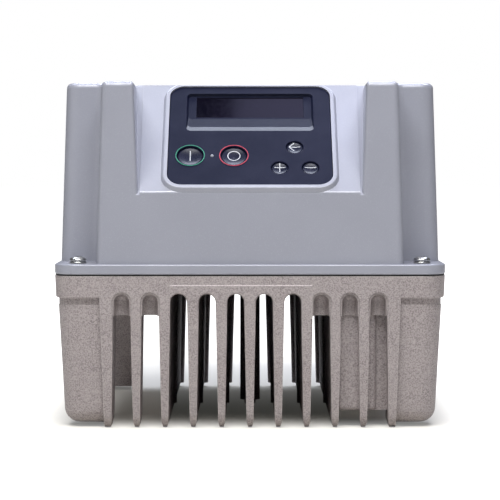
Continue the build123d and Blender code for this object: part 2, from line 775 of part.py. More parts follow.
def display_window():
    front = -lcd_recess_depth - window_sink
    back = -lcd_recess_depth - lcd_recess_floor
    height = window_high - window_low - 2 * fit_gap
    pane = on_panel(0, window_middle, back) * extrude(Rectangle(window_width - 2 * fit_gap, height), front - back)
    flange = on_panel(0, window_middle, back - window_flange_thickness) * extrude(
        Rectangle(window_width + 2 * window_flange, height - 1), window_flange_thickness
    )
    return pane + flange


def lcd_module():
    front = -lcd_recess_depth - lcd_recess_floor - window_flange_thickness
    return on_panel(0, window_middle, -keypad_board_depth) * extrude(
        Rectangle(*lcd_module_size), front + keypad_board_depth
    )


def key_cap(name):
    """Dished round key with a retaining flange behind the faceplate."""
    x, up, radius, dish = keys[name]
    dish_radius = radius - key_dish_rim
    ball = (dish_radius**2 + dish**2) / (2 * dish)
    cap = extrude(Circle(radius), -key_height)
    cap = fillet(cap.edges().sort_by(Axis.Z)[-1], key_edge_radius)
    cap -= Pos(0, 0, ball - dish) * Sphere(ball)
    flange_face = faceplate_thickness - key_sink + key_rest_gap
    cap += Pos(0, 0, -key_height) * extrude(Circle(radius + key_flange), key_height - flange_face)
    return on_panel(x, up, -key_sink) * cap


def key_ring(name):
    """Printed ring round a large key, as a thin inlay on the faceplate."""
    x, up = keys[name][:2]
    return on_panel(x, up, 0) * ring(ring_inner_radius + ring_width, ring_inner_radius, ring_thickness)


def status_light_pipe():
    pipe = extrude(Circle(led_radius), -keypad_board_depth + 1)
    pipe = fillet(pipe.edges().sort_by(Axis.Z)[-1], 0.4)
    return on_panel(*led_place, 0.2) * pipe


def key_switches():
    body = extrude(Rectangle(switch_size, switch_size), switch_height)
    plunger_length = keypad_board_depth - switch_height - key_sink - key_height - key_travel - key_rest_gap
    body += Pos(0, 0, switch_height) * extrude(Circle(plunger_radius), plunger_length)
    return [on_panel(x, up, -keypad_board_depth) * body for x, up, radius, dish in keys.values()]


def keypad_board():
    board = on_panel(0, panel_middle_up, -keypad_board_depth - board_thickness) * extrude(
        RectangleRounded(*keypad_board_size, 2), board_thickness
    )
    for x, up in keypad_posts:
        board -= on_panel(x, up, -keypad_board_depth - board_thickness - 1) * extrude(
            Circle(keypad_screw_radius + screw_gap), board_thickness + 2
        )
    return board


def keypad_screws():
    screw = pan_screw(keypad_screw_radius, keypad_screw_head, 1.6, 6.5, 0.6)
    return [on_panel(x, up, -keypad_board_depth - board_thickness) * Rot(180, 0, 0) * screw for x, up in keypad_posts]


def keypad_ribbon():
    """Flat cable, with a header at each end, from the keypad board to the control board."""
    start = on_panel(0, ribbon_up, -keypad_board_depth - board_thickness).position
    inward = Vector(0, sin(radians(plateau_angle)), -cos(radians(plateau_angle)))
    header = on_panel(0, ribbon_up, -keypad_board_depth - board_thickness - ribbon_header) * extrude(
        Rectangle(ribbon_width + 4, 6), ribbon_header
    )
    plug = Pos(0, ribbon_board_y, control_board_top) * extrude(Rectangle(ribbon_width + 4, 6), ribbon_header)
    leave = start + inward * (ribbon_header - 1)
    arrive = Vector(0, ribbon_board_y, control_board_top + ribbon_header - 1)
    path = Bezier(
        (leave.Y, leave.Z),
        (leave.Y + inward.Y * 16, leave.Z + inward.Z * 16),
        (arrive.Y, arrive.Z + 12),
        (arrive.Y, arrive.Z),
    )
    strip = Plane(origin=(-ribbon_width / 2, 0, 0), x_dir=(0, 1, 0), z_dir=(1, 0, 0)) * trace(path, ribbon_thickness)
    return header + plug + extrude(strip, ribbon_width)


# ================================================================= electronics
def board(size, centre_y, z_low, holes):
    plate = slab(*size, z_low, z_low + board_thickness, 3, at=(0, centre_y))
    plate -= screw_holes(holes, board_screw_radius, z_low - 1, z_low + board_thickness + 1)
    return plate


def power_board():
    return board(power_board_size, power_board_centre_y, power_board_z, power_standoffs + control_standoffs)


def control_board():
    return board(control_board_size, control_board_centre_y, control_board_z, control_standoffs)


def standoff(length):
    return extrude(RegularPolygon(standoff_radius, 6) - Circle(board_screw_radius + screw_gap), length)


def power_board_standoffs():
    return grouped([(x, y, plate_floor) for x, y in power_standoffs], standoff(power_board_height))


def control_board_standoffs():
    return grouped([(x, y, power_board_top) for x, y in control_standoffs], standoff(control_board_rise))


def board_screws():
    long_screw = pan_screw(board_screw_radius, board_screw_head, 2.2, power_board_height + board_thickness + 3.5, 0.7)
    short_screw = pan_screw(board_screw_radius, board_screw_head, 2.2, 8, 0.7)
    lower = grouped([(x, y, power_board_top) for x, y in power_standoffs], long_screw)
    upper = grouped([(x, y, control_board_top) for x, y in control_standoffs], short_screw)
    under = [Pos(x, y, power_board_z) * Rot(180, 0, 0) * short_screw for x, y in control_standoffs]
    return lower + upper + under


def thermal_pad():
    pad = slab(*module_size[:2], plate_floor, plate_floor + thermal_pad_thickness, at=module_place)
    return pad - screw_holes(module_screws_at, module_screw_radius, plate_floor - 1, plate_floor + 1)


def power_module():
    foot = plate_floor + thermal_pad_thickness
    top = foot + module_size[2]
    body = slab(*module_size[:2], foot, foot + module_flange, 2, at=module_place)
    body += slab(module_size[0] - 20, module_size[1], foot, top, 2, at=module_place)
    body -= screw_holes(module_screws_at, module_screw_radius, foot - 1, foot + module_flange + 1)
    for i in range(module_pins):
        x = module_place[0] + (i - (module_pins - 1) / 2) * module_pin_pitch
        for side in (-1, 1):
            y = module_place[1] + side * (module_size[1] / 2 - 3)
            body += rod(0.6, top - 1, power_board_z, (x, y))
    return body


def module_screws():
    head_z = plate_floor + thermal_pad_thickness + module_flange
    screw = pan_screw(module_screw_radius, 3.6, 2.6, module_flange + thermal_pad_thickness + 4.5, 0.9)
    return grouped([(x, y, head_z) for x, y in module_screws_at], screw)


def dc_link_capacitors():
    can = extrude(Circle(capacitor_radius), capacitor_height)
    can = fillet(can.edges(), 1.2)
    groove = Pos(0, 0, 6) * Torus(capacitor_radius + 0.4, 1.2)
    vent = Pos(0, 0, capacitor_height) * (
        Box(capacitor_radius * 1.4, 0.6, 0.8) + Box(0.6, capacitor_radius * 1.4, 0.8)
    )
    return grouped([(x, y, power_board_top) for x, y in capacitor_places], can - groove - vent)


def capacitor_clip():
    """Moulded comb that keeps the cans from shaking."""
    first = capacitor_places[0]
    last = capacitor_places[-1]
    clip = slab(
        last[0] - first[0] + 2 * capacitor_radius + 4,
        2 * capacitor_radius + 4,
        capacitor_clip_z,
        capacitor_clip_z + 4,
        6,
        at=(0, first[1]),
    )
    return clip - [rod(capacitor_radius + screw_gap, 0, cover_top, at) for at in capacitor_places]


def choke_base():
    plate = rod(choke_outer_radius + choke_wire + 1, pocket_floor, pocket_floor + choke_base_thickness, choke_place)
    return plate + rod(choke_hub_radius, pocket_floor, pocket_floor + choke_height + 6, choke_place)


def choke_core():
    core = ring(choke_outer_radius, choke_inner_radius, choke_height)
    return Pos(*choke_place, choke_floor) * fillet(core.edges(), 1.0)


def choke_windings():
    middle = (choke_outer_radius + choke_inner_radius) / 2
    radial = choke_outer_radius - choke_inner_radius
    outer = Box(radial + 2 * choke_wire, choke_wire, choke_height + 2 * choke_wire)
    turn = outer - Box(radial + 2 * fit_gap, choke_wire, choke_height + 2 * fit_gap)
    turn = Pos(middle, 0, choke_height / 2) * turn
    turns = [
        Pos(*choke_place, choke_floor) * Rot(0, 0, half * 180 + (i - (choke_turns - 1) / 2) * choke_turn_angle) * turn
        for half in range(2)
        for i in range(choke_turns)
    ]
    return turns


def terminal_block(poles, pitch, block_depth, height, screw_radius):
    """Row of clamp terminals: wire mouths facing +Y, screw wells on top."""
    block = extrude(Rectangle(poles * pitch, block_depth), height)
    for i in range(poles):
        x = (i - (poles - 1) / 2) * pitch
        block -= Pos(x, block_depth / 2, height * 0.36) * Box(pitch * 0.66, block_depth * 1.1, height * 0.42)
        block -= Pos(x, 0, height * 0.8) * Cylinder(screw_radius + 0.4, height * 0.42)
    return block


def power_terminals(name):
    block = terminal_block(4, terminal_pitch, terminal_depth, terminal_height, terminal_screw_radius)
    return Pos(power_terminal_places[name], power_terminal_y, power_board_top) * block


def terminal_screws():
    """Slotted clamp screws of the power terminals, resting in their wells."""
    screw = extrude(Circle(terminal_screw_radius), 3) - Pos(0, 0, 3) * Box(2 * terminal_screw_radius + 1, 0.8, 1.6)
    z = power_board_top + terminal_height * 0.59
    places = [
        (middle + (i - 1.5) * terminal_pitch, power_terminal_y, z)
        for middle in power_terminal_places.values()
        for i in range(4)
    ]
    return grouped(places, screw)


def control_terminals():
    block = terminal_block(control_terminal_count, control_terminal_pitch, 9, 11, 1.4)
    y = control_board_centre_y - control_board_size[1] / 2 + 6
    return Pos(0, y, control_board_top) * Rot(0, 0, 180) * block


def relays():
    relay = slab(*relay_size[:2], 0, relay_size[2], 1)
    return grouped([(x, y, power_board_top) for x, y in relay_places], relay)


def filter_capacitors():
    box_cap = fillet(slab(*filter_cap_size[:2], 0, filter_cap_size[2]).edges(), 1)
    return grouped([(x, y, power_board_top) for x, y in filter_cap_places], box_cap)


def current_sensors():
    sensor = slab(*sensor_size[:2], 0, sensor_size[2], 1)
    sensor -= Pos(0, 0, sensor_size[2] * 0.6) * Rot(90, 0, 0) * Cylinder(3.4, 30)
    return grouped([(x, y, power_board_top) for x, y in sensor_places], sensor)


def processor():
    return Pos(*processor_place, control_board_top) * extrude(Rectangle(14, 14), 1.6)


def earth_screw():
    screw = pan_screw(earth_screw_radius, 4.7, 3.2, earth_washer_thickness + earth_thread, 1.1)
    return Pos(*earth_screw_place, pocket_floor + earth_washer_thickness) * screw


def earth_washer():
    washer = ring(5.6, earth_screw_radius + screw_gap, earth_washer_thickness)
    return Pos(*earth_screw_place, pocket_floor) * washer


# ================================================================= cable entries
def entry_plugs():
    """Blanking plugs: round heads with a driver slot, sunk flush in the rear wall."""
    seat = base_half_y - entry_recess_depth + plug_seal_thickness
    plugs = []
    for x in entry_places:
        plug = rear_rod(plug_head_radius, x, seat, seat + plug_head_thickness)
        plug += rear_rod(entry_thread_radius, x, seat - plug_length + 2, seat)
        plug -= rear_rod(entry_thread_radius - 2, x, seat - plug_length, seat - 1)
        plug -= Pos(x, seat + plug_head_thickness, entry_height) * Box(
            1.5 * plug_head_radius, 2 * plug_slot_depth, plug_slot_width
        )
        plugs.append(plug)
    return plugs


def entry_seals():
    seat = base_half_y - entry_recess_depth
    return [
        rear_rod(plug_head_radius - 0.4, x, seat, seat + plug_seal_thickness)
        - rear_rod(entry_thread_radius + screw_gap, x, seat - 1, seat + 2)
        for x in entry_places
    ]


parts = {
    "heatsink_base": heatsink_base,
    "cover_shell": cover_shell,
    "cover_gasket": cover_gasket,
    "cover_screws": cover_screws,
    "cover_washers": cover_washers,
    "keypad_faceplate": keypad_faceplate,
    "keypad_seal": keypad_seal,
    "display_window": display_window,
    "lcd_module": lcd_module,
    "start_key_ring": lambda: key_ring("start_button"),
    "stop_key_ring": lambda: key_ring("stop_button"),
    "status_light_pipe": status_light_pipe,
    "key_switches": key_switches,
    "keypad_board": keypad_board,
    "keypad_screws": keypad_screws,
    "keypad_ribbon": keypad_ribbon,
    "power_board": power_board,
    "power_board_standoffs": power_board_standoffs,
    "control_board": control_board,
    "control_board_standoffs": control_board_standoffs,
    "board_screws": board_screws,
    "thermal_pad": thermal_pad,
    "power_module": power_module,
    "module_screws": module_screws,
    "dc_link_capacitors": dc_link_capacitors,
    "capacitor_clip": capacitor_clip,
    "choke_base": choke_base,
    "choke_core": choke_core,
    "choke_windings": choke_windings,
    "mains_terminals": lambda: power_terminals("mains_terminals"),
    "motor_terminals": lambda: power_terminals("motor_terminals"),
    "terminal_screws": terminal_screws,
    "control_terminals": control_terminals,
    "relays": relays,
    "filter_capacitors": filter_capacitors,
    "current_sensors": current_sensors,
    "processor": processor,
    "earth_screw": earth_screw,
    "earth_washer": earth_washer,
    "entry_plugs": entry_plugs,
    "entry_seals": entry_seals,
}
for key_name in keys:
    parts[key_name] = lambda key_name=key_name: key_cap(key_name)


def write_parts():
    os.makedirs("parts", exist_ok=True)
    for name, make in parts.items():
        shape = make()
        if isinstance(shape, list):
            shape = Compound(children=shape)
        export_step(shape, f"parts/{name}.step")


if __name__ == "__main__":
    write_parts()
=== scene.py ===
"""Finishes, key symbols, cover screws and stage for a motor-mounted variable frequency drive."""

import json
from math import cos, pi, radians, sin

import bmesh
import bpy
from bpy.props import FloatProperty, FloatVectorProperty, PointerProperty
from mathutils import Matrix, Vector


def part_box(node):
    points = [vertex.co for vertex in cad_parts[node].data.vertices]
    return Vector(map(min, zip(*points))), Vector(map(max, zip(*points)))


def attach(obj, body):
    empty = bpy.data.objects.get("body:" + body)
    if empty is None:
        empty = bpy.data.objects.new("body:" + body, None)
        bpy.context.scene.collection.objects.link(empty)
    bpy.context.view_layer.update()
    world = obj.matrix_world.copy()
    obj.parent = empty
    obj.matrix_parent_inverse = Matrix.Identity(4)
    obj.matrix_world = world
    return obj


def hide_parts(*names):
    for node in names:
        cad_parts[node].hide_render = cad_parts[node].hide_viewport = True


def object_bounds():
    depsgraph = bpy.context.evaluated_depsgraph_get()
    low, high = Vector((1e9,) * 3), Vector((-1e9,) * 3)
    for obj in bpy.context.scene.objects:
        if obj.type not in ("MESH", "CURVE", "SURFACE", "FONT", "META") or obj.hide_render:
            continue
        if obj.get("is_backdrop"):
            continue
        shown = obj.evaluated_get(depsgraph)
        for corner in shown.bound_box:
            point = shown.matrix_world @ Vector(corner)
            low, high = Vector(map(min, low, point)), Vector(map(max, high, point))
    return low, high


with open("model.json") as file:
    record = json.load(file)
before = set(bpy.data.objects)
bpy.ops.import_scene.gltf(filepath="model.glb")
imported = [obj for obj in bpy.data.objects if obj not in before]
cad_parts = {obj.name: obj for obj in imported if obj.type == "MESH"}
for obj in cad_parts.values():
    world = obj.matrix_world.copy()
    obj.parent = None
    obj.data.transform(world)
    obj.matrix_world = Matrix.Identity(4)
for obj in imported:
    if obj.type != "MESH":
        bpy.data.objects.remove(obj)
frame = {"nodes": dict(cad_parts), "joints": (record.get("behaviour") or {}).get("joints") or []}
nodes = frame["nodes"]
cad_low, cad_high = (Vector(corner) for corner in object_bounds())

bl_info = {
    "name": "Variable frequency drive",
    "version": (1, 0, 0),
    "blender": (4, 5, 0),
    "location": "View3D > Sidebar > Drive",
    "description": "Finishes the drive's castings, keypad, fasteners and boards, and sets its stage",
    "category": "Object",
}

MM = 0.001
FIXED_BODY = "drive"
KEYS = ("start_button", "stop_button", "back_button", "plus_button", "minus_button")


# ---------------------------------------------------------------- the keypad's own axes
press_axes = {joint["child"]: Vector(joint["axis"]).normalized() for joint in frame["joints"]}
KEY_BODIES = {key: f"{key}_body" for key in KEYS}
OUT = -press_axes[KEY_BODIES[KEYS[0]]]  # out of the keypad's face
ACROSS = Vector((1, 0, 0))
UP = OUT.cross(ACROSS)


def keypad_point(across, up, out):
    """Point in the frame, from distances along the keypad's own axes."""
    return ACROSS * across + UP * up + OUT * out


def key_face(key):
    """(across, up, out) of the middle of a key's rim, along the keypad's axes."""
    corners = [vertex.co for vertex in nodes[key].data.vertices]
    across = [corner.dot(ACROSS) for corner in corners]
    up = [corner.dot(UP) for corner in corners]
    out = [corner.dot(OUT) for corner in corners]
    return (min(across) + max(across)) / 2, (min(up) + max(up)) / 2, max(out)


# ---------------------------------------------------------------- settings
def colour_setting(name, description, default):
    return FloatVectorProperty(
        name=name, description=description, default=default, subtype="COLOR", size=3, min=0, max=1
    )


def length_setting(name, description, default):
    return FloatProperty(name=name, description=description, default=default, min=0, unit="LENGTH")


def power_setting(name, description, default):
    return FloatProperty(name=name, description=f"{description}, in watts", default=default, min=0)


def level_setting(name, description, default):
    return FloatProperty(name=name, description=description, default=default, min=0)


class FinishSettings(bpy.types.PropertyGroup):
    paint: colour_setting("Cover paint", "Silver-grey paint of the cover", (0.325, 0.334, 0.392))
    casting: colour_setting("Casting", "Bare die-cast alloy of the base", (0.462, 0.410, 0.412))
    casting_pit: colour_setting("Casting pits", "Darker alloy in the pits of the base", (0.235, 0.206, 0.209))
    faceplate: colour_setting("Faceplate", "Navy plastic of the keypad", (0.0050, 0.0070, 0.023))
    start_ring: colour_setting("Start ring", "Printed ring round the start key", (0.006, 0.20, 0.115))
    stop_ring: colour_setting("Stop ring", "Printed ring round the stop key", (0.42, 0.020, 0.050))
    symbol: colour_setting("Symbols", "Print on the keys", (0.50, 0.52, 0.56))
    zinc: colour_setting("Zinc", "Plating of the screws and washers", (0.50, 0.51, 0.52))
    casting_grain: length_setting("Casting grain", "Size of the grain of the base", 0.8 * MM)
    paint_grain: length_setting("Paint grain", "Size of the texture of the cover's paint", 1.1 * MM)


class SymbolSettings(bpy.types.PropertyGroup):
    line: length_setting("Line", "Width of a symbol's line", 0.52 * MM)
    rise: length_setting("Rise", "How far the symbols sit above the middle of their keys", 1.2 * MM)
    print_height: length_setting("Print height", "How far the print stands off a key", 0.05 * MM)
    bar: length_setting("Start bar", "Length of the bar on the start key", 8.0 * MM)
    ring: length_setting("Stop ring radius", "Radius of the ring on the stop key", 3.7 * MM)
    arm: length_setting("Small symbol", "Length of the symbols on the small keys", 6.9 * MM)


class ScrewSettings(bpy.types.PropertyGroup):
    head_radius: length_setting("Head radius", "Radius of a cover screw's pan head", 5.05 * MM)
    head_height: length_setting("Head height", "Height of a cover screw's pan head", 3.3 * MM)
    cross_length: length_setting("Cross length", "Length of each slot of the cross recess", 5.2 * MM)
    cross_width: length_setting("Cross width", "Width of each slot of the cross recess", 1.0 * MM)
    shank_radius: length_setting("Shank radius", "Radius of a cover screw's shank", 2.5 * MM)
    washer_radius: length_setting("Washer radius", "Outer radius of a cover screw's washer", 5.2 * MM)
    washer_thickness: length_setting("Washer thickness", "Thickness of a cover screw's washer", 1.0 * MM)


class StageSettings(bpy.types.PropertyGroup):
    distance: length_setting("Camera distance", "From the camera to the front of the flange", 1.073)
    height: length_setting("Camera height", "Height of the camera above the floor", 0.164)
    pitch: FloatProperty(
        name="Pitch", description="How far the camera looks down", default=radians(3.0), unit="ROTATION"
    )
    lens: FloatProperty(name="Lens", description="Focal length, in millimetres", default=129.6, min=1)
    main: power_setting("Main light", "Power of the lamp high in front", 27)
    back: power_setting("Back light", "Power of the lamp above, towards the back", 25)
    side: power_setting("Side light", "Power of the lamp on the left", 0.8)
    fill: power_setting("Fill light", "Power of the lamp on the right", 0.4)
    ceiling: power_setting("Ceiling", "Power of the dim panel overhead", 2.1)
    surroundings: level_setting("Surroundings", "Brightness of the room", 0.10)
    glow: level_setting("Floor glow", "Light from the floor itself", 1.0)
    glow_on_object: level_setting("Glow on object", "What the object gets of the floor's glow", 0.10)
    # how far the floor's painted shadow, a dimming of its glow, spreads in front
    painted_shadow_reach: length_setting("Shadow reach", "How far the floor's shadow spreads in front", 48 * MM)


# ---------------------------------------------------------------- shader helpers
class Shader:
    """A material or node group being wired up."""

    def __init__(self, tree):
        self.tree = tree

    def node(self, kind, **settings):
        made = self.tree.nodes.new(kind)
        for name, value in settings.items():
            setattr(made, name, value)
        return made

    def link(self, source, target):
        self.tree.links.new(source, target)

    def feed(self, socket, value):
        """Sets a socket to a number, colour or vector, or links another socket to it."""
        if isinstance(value, bpy.types.NodeSocket):
            self.link(value, socket)
        elif socket.type == "RGBA":
            socket.default_value = (*value, 1)
        else:
            socket.default_value = value

    def maths(self, operation, *values, clamp=False):
        made = self.node("ShaderNodeMath", operation=operation, use_clamp=clamp)
        for socket, value in zip(made.inputs, values):
            self.feed(socket, value)
        return made.outputs[0]

    def mix(self, factor, first, second):
        made = self.node("ShaderNodeMix", data_type="RGBA")
        self.feed(made.inputs["Factor"], factor)
        for name, value in (("A", first), ("B", second)):
            socket = next(s for s in made.inputs if s.name == name and s.type == "RGBA")
            self.feed(socket, value)
        return next(s for s in made.outputs if s.type == "RGBA")

    def ramp(self, value, low, high, to_low=0.0, to_high=1.0):
        made = self.node("ShaderNodeMapRange", interpolation_type="SMOOTHSTEP")
        self.feed(made.inputs["Value"], value)
        limits = {"From Min": low, "From Max": high, "To Min": to_low, "To Max": to_high}
        for name, number in limits.items():
            made.inputs[name].default_value = number
        return made.outputs["Result"]

    def noise(self, vector, scale, detail=3.0, roughness=0.55):
        made = self.node("ShaderNodeTexNoise")
        self.feed(made.inputs["Vector"], vector)
        self.feed(made.inputs["Scale"], scale)
        made.inputs["Detail"].default_value = detail
        made.inputs["Roughness"].default_value = roughness
        return made.outputs["Fac"]

    def place(self):
        return self.node("ShaderNodeTexCoord").outputs["Object"]

    def group(self, tree, **inputs):
        made = self.node("ShaderNodeGroup", node_tree=tree)
        for name, value in inputs.items():
            self.feed(made.inputs[name.replace("_", " ")], value)
        return made.outputs

    def bump(self, height, strength, distance):
        made = self.node("ShaderNodeBump")
        made.inputs["Strength"].default_value = strength
        made.inputs["Distance"].default_value = distance
        self.link(height, made.inputs["Height"])
        return made.outputs["Normal"]


def new_group(name, inputs, outputs):
    """Shader node group with float sockets; returns its wiring helper, its inputs and its output node."""
    tree = bpy.data.node_groups.new(name, "ShaderNodeTree")
    for socket, default in inputs.items():
        made = tree.interface.new_socket(name=socket, in_out="INPUT", socket_type="NodeSocketFloat")
        made.default_value = default
    for socket in outputs:
        tree.interface.new_socket(name=socket, in_out="OUTPUT", socket_type="NodeSocketFloat")
    wiring = Shader(tree)
    return wiring, wiring.node("NodeGroupInput").outputs, wiring.node("NodeGroupOutput").inputs


def grain_group():
    """Fine grain for bumps, with a broad mottle for colour."""
    tree = bpy.data.node_groups.get("fine grain")
    if tree:
        return tree
    sizes = {"Size": MM, "Mottle Size": 20 * MM}
    g, given, out = new_group("fine grain", sizes, ("Height", "Mottle", "Specks"))
    place = g.place()
    fine = g.maths("DIVIDE", 1.0, given["Size"])
    g.link(g.noise(place, fine, detail=5.0, roughness=0.62), out["Height"])
    g.link(g.noise(place, g.maths("DIVIDE", 1.0, given["Mottle Size"]), detail=3.0), out["Mottle"])
    specks = g.noise(place, g.maths("MULTIPLY", fine, 1.9), detail=1.0)
    g.link(g.ramp(specks, 0.56, 0.70), out["Specks"])
    return g.tree


def edge_wear_and_highlight_group():
    """Masks of a solid's edges: Edge is the whole edge, which some finishes lighten as a painted highlight,
    and Wear is the edge broken up as handling wears it.
    """
    tree = bpy.data.node_groups.get("edge wear and painted highlight masks")
    if tree:
        return tree
    g, given, out = new_group("edge wear and painted highlight masks", {"Reach": MM, "Break Up": 0.5}, ("Edge", "Wear"))
    rounded = g.node("ShaderNodeBevel", samples=4)
    g.link(given["Reach"], rounded.inputs["Radius"])
    true_normal = g.node("ShaderNodeNewGeometry").outputs["True Normal"]
    dot = g.node("ShaderNodeVectorMath", operation="DOT_PRODUCT")
    g.link(rounded.outputs["Normal"], dot.inputs[0])
    g.link(true_normal, dot.inputs[1])
    edge = g.ramp(g.maths("SUBTRACT", 1.0, dot.outputs["Value"]), 0.01, 0.22)
    patches = g.ramp(g.noise(g.place(), 160.0, detail=4.0), 0.38, 0.62)
    broken = g.maths("MULTIPLY", patches, given["Break Up"])
    whole = g.maths("SUBTRACT", 1.0, given["Break Up"])
    g.link(edge, out["Edge"])
    g.link(g.maths("MULTIPLY", edge, g.maths("ADD", broken, whole)), out["Wear"])
    return g.tree


def dust_group():
    """Mask of the thin dust that settles on faces that look up."""
    tree = bpy.data.node_groups.get("settled dust")
    if tree:
        return tree
    g, given, out = new_group("settled dust", {"Amount": 0.2}, ("Dust",))
    normal = g.node("ShaderNodeSeparateXYZ")
    g.link(g.node("ShaderNodeNewGeometry").outputs["Normal"], normal.inputs[0])
    level = g.ramp(normal.outputs["Z"], 0.55, 1.0)
    patches = g.ramp(g.noise(g.place(), 90.0, detail=5.0), 0.35, 0.75)
    g.link(g.maths("MULTIPLY", g.maths("MULTIPLY", level, patches), given["Amount"]), out["Dust"])
    return g.tree


def new_material(name, **constants):
    """Material with a Principled BSDF, whose plain values are set straight on its sockets."""
    material = bpy.data.materials.new(name)
    material.use_nodes = True
    shader = Shader(material.node_tree)
    bsdf = material.node_tree.nodes["Principled BSDF"]
    for socket, value in constants.items():
        bsdf.inputs[socket.replace("_", " ")].default_value = value
    return material, shader, bsdf.inputs


def settings():
    return bpy.context.scene.drive_finish


# ---------------------------------------------------------------- materials
def cast_alloy():
    """Bare die-cast alloy: fine sandy grain, darker pits, edges rubbed a little brighter."""
    given = settings()
    material, s, surface = new_material("cast alloy", Metallic=0.35)
    grain = s.group(grain_group(), Size=given.casting_grain, Mottle_Size=16 * MM)
    edges = s.group(edge_wear_and_highlight_group(), Reach=0.9 * MM, Break_Up=0.55)
    tone = s.ramp(grain["Height"], 0.34, 0.61)
    colour = s.mix(tone, given.casting_pit, given.casting)
    colour = s.mix(s.ramp(grain["Mottle"], 0.30, 0.75, 0.0, 0.28), colour, (0.50, 0.455, 0.45))
    colour = s.mix(s.maths("MULTIPLY", edges["Wear"], 0.45), colour, (0.60, 0.57, 0.55))
    s.link(colour, surface["Base Color"])
    s.link(s.ramp(grain["Height"], 0.30, 0.70, 0.62, 0.44), surface["Roughness"])
    s.link(s.bump(grain["Height"], 0.6, 0.35 * MM), surface["Normal"])
    return material


def cover_paint():
    """Silver-grey paint with a fine orange peel, over a casting, and a painted highlight that lightens its
    edges.
    """
    given = settings()
    material, s, surface = new_material("cover paint", Metallic=0.12, Coat_Roughness=0.18)
    grain = s.group(grain_group(), Size=given.paint_grain, Mottle_Size=45 * MM)
    edges = s.group(edge_wear_and_highlight_group(), Reach=1.2 * MM, Break_Up=0.2)
    dust = s.group(dust_group(), Amount=0.12)
    paler = tuple(min(1.0, 1.12 * channel) for channel in given.paint)
    colour = s.mix(s.ramp(grain["Mottle"], 0.3, 0.7, 0.0, 0.35), given.paint, paler)
    colour = s.mix(s.maths("MULTIPLY", grain["Specks"], 0.10), colour, (0.62, 0.63, 0.68))
    # painted highlight: every edge of the cover is lightened a little towards pale blue-grey
    colour = s.mix(s.maths("MULTIPLY", edges["Edge"], 0.22), colour, (0.66, 0.68, 0.74))
    colour = s.mix(dust["Dust"], colour, (0.55, 0.54, 0.52))
    s.link(colour, surface["Base Color"])
    s.link(s.ramp(grain["Height"], 0.3, 0.7, 0.36, 0.46), surface["Roughness"])
    s.link(s.ramp(grain["Mottle"], 0.3, 0.7, 0.36, 0.48), surface["Coat Weight"])
    s.link(s.bump(grain["Height"], 0.16, 0.08 * MM), surface["Normal"])
    return material


def moulded(name, colour, size=0.5 * MM, rough=(0.38, 0.52), bump=0.2, edge_gain=0.15, **constants):
    """Moulded plastic or rubber with a fine texture."""
    material, s, surface = new_material(name, **constants)
    grain = s.group(grain_group(), Size=size, Mottle_Size=18 * MM)
    edges = s.group(edge_wear_and_highlight_group(), Reach=0.4 * MM, Break_Up=0.4)
    paler = tuple(min(1.0, 1.35 * channel + 0.01) for channel in colour)
    shade = s.mix(s.ramp(grain["Mottle"], 0.3, 0.75, 0.0, 0.4), colour, paler)
    bright = tuple(min(1.0, 2.2 * channel + 0.03) for channel in colour)
    shade = s.mix(s.maths("MULTIPLY", edges["Wear"], edge_gain), shade, bright)
    s.link(shade, surface["Base Color"])
    s.link(s.ramp(grain["Height"], 0.3, 0.7, rough[1], rough[0]), surface["Roughness"])
    s.link(s.bump(grain["Height"], bump, 0.06 * MM), surface["Normal"])
    return material


def plated_steel():
    """Bright zinc plating with turning marks, a faint stain and a painted highlight that lightens its edges.
    """
    given = settings()
    material, s, surface = new_material("plated steel", Metallic=1.0)
    grain = s.group(grain_group(), Size=0.35 * MM, Mottle_Size=2.2 * MM)
    edges = s.group(edge_wear_and_highlight_group(), Reach=0.25 * MM, Break_Up=0.3)
    colour = s.mix(s.ramp(grain["Mottle"], 0.3, 0.7, 0.0, 0.55), given.zinc, (0.50, 0.48, 0.42))
    # painted highlight: every edge is lightened halfway to near white
    colour = s.mix(s.maths("MULTIPLY", edges["Edge"], 0.5), colour, (0.85, 0.85, 0.84))
    s.link(colour, surface["Base Color"])
    s.link(s.ramp(grain["Height"], 0.3, 0.7, 0.22, 0.38), surface["Roughness"])
    s.link(s.bump(grain["Height"], 0.12, 0.03 * MM), surface["Normal"])
    return material


def display_glass():
    """Dark tinted window, smeared a little where a cloth has wiped it."""
    material, s, surface = new_material(
        "display glass", Metallic=0.0, Coat_Weight=0.1, Coat_Roughness=0.04, IOR=1.5
    )
    grain = s.group(grain_group(), Size=3 * MM, Mottle_Size=30 * MM)
    colour = s.mix(s.ramp(grain["Mottle"], 0.3, 0.7), (0.002, 0.002, 0.006), (0.004, 0.003, 0.009))
    s.link(colour, surface["Base Color"])
    s.link(s.ramp(grain["Height"], 0.3, 0.75, 0.08, 0.16), surface["Roughness"])
    return material


def clear_plastic():
    material, s, surface = new_material("clear plastic", IOR=1.49, Transmission_Weight=0.3)
    grain = s.group(grain_group(), Size=0.8 * MM, Mottle_Size=3 * MM)
    s.link(s.mix(grain["Mottle"], (0.30, 0.31, 0.36), (0.42, 0.43, 0.48)), surface["Base Color"])
    s.link(s.ramp(grain["Height"], 0.3, 0.7, 0.10, 0.22), surface["Roughness"])
    return material


